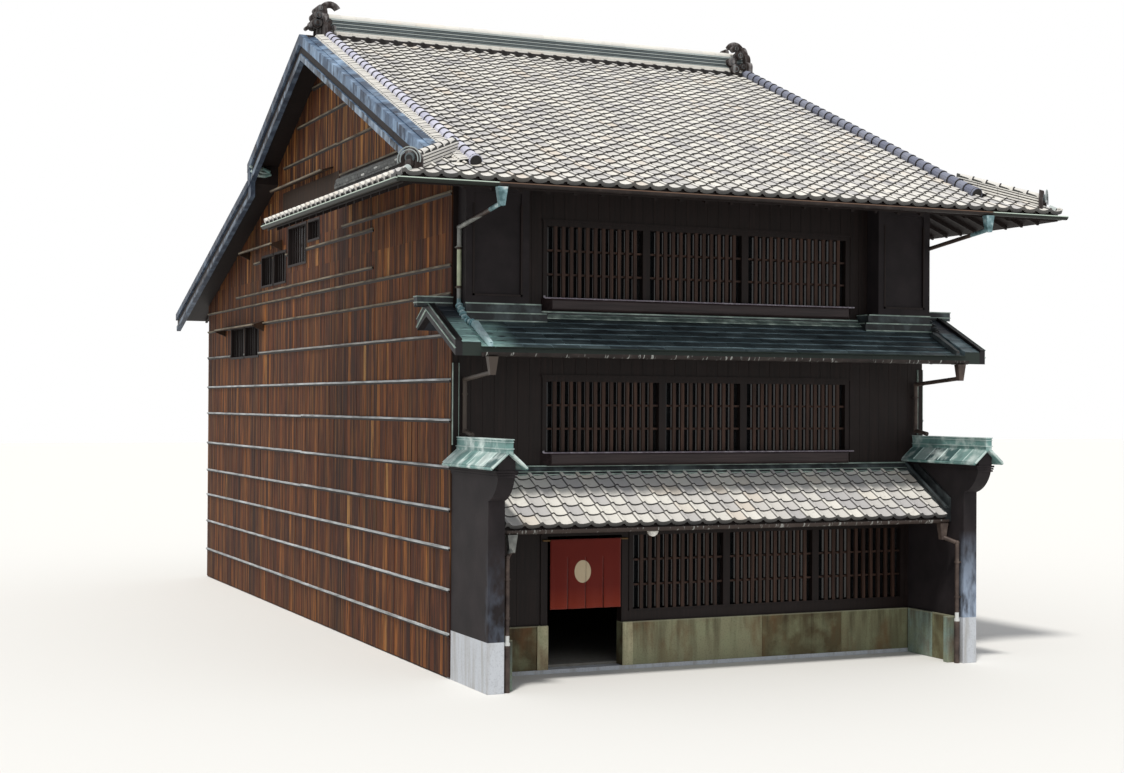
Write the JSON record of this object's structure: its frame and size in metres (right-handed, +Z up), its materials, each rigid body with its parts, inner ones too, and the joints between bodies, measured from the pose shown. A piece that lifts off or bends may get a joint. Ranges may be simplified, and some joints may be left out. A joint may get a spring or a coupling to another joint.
{
  "type": "machiya townhouse",
  "caption": "Timber townhouse of three storeys with a tiled hip-and-gable roof, a copper pent roof, a tiled pent roof, wing walls, lattice windows and an open entrance.",
  "frame": {"origin": "middle of the front wall's face at ground level, on the underside of the sill stone", "axes": "+X along the street front, to the right seen from the street; +Y from the street to the back; +Z up"},
  "size_m": [11.3, 19.26, 11.3467],
  "materials": {
    "granite": "flamed granite, weathered",
    "ground_stone": "trowelled",
    "floor_boards": "oiled boards",
    "front_timber": "dark stained",
    "weathered_boards": "weathered boards with battens",
    "roof_tiles": "smoked clay tiles",
    "barge_copper": "dark copper sheet",
    "patina_copper": "green copper sheet",
    "black_plaster": "troweled lime plaster",
    "dado_stone": "stained stone slabs",
    "gutter_copper": "brown copper",
    "window_glass": "clear",
    "red_cloth": "woven",
    "bamboo": "smoked",
    "lamp_glass": "opal"
  },
  "bodies": {
    "root": {"bargeboards_left": "barge_copper", "bargeboards_right": "barge_copper", "copper_gutter": "gutter_copper", "copper_ridge_boxes": "patina_copper", "copper_roof": "patina_copper", "corner_ornaments": "roof_tiles", "corner_ridges": "roof_tiles", "dado": "dado_stone", "door_frame": "front_timber", "downpipes": "gutter_copper", "end_panels": "black_plaster", "front_glass": "window_glass", "front_wall_left": "front_timber", "front_wall_lintel": "front_timber", "front_wall_right": "front_timber", "front_wall_second": "front_timber", "front_wall_third": "front_timber", "gable_panels": "weathered_boards", "ground_slab": "ground_stone", "lamp": "lamp_glass", "lattice_ground": "front_timber", "lattice_second": "front_timber", "lattice_third": "front_timber", "left_wall": "weathered_boards", "main_gutters": "gutter_copper", "noren": "red_cloth", "noren_rod": "bamboo", "panel_bases": "patina_copper", "pent_flashing": "patina_copper", "pent_gutter": "gutter_copper", "pent_kerbs": "patina_copper", "rail_second": "front_timber", "rail_third": "front_timber", "rear_wall": "weathered_boards", "ridge_ornaments": "roof_tiles", "ridge_stack": "roof_tiles", "right_wall": "weathered_boards", "roof_front": "roof_tiles", "roof_rear": "roof_tiles", "roof_rear_lower": "roof_tiles", "second_floor": "floor_boards", "side_glass": "window_glass", "side_roof_left": "roof_tiles", "side_roof_right": "roof_tiles", "sill_stone": "granite", "third_floor": "floor_boards", "tiled_pent_roof": "roof_tiles", "wall_stacks": "roof_tiles", "window_frames": "front_timber", "window_hoods": "weathered_boards", "wing_bases": "granite", "wing_caps": "patina_copper", "wing_corbels": "black_plaster", "wing_wall_left": "black_plaster", "wing_wall_right": "black_plaster"}
  },
  "joints": []
}
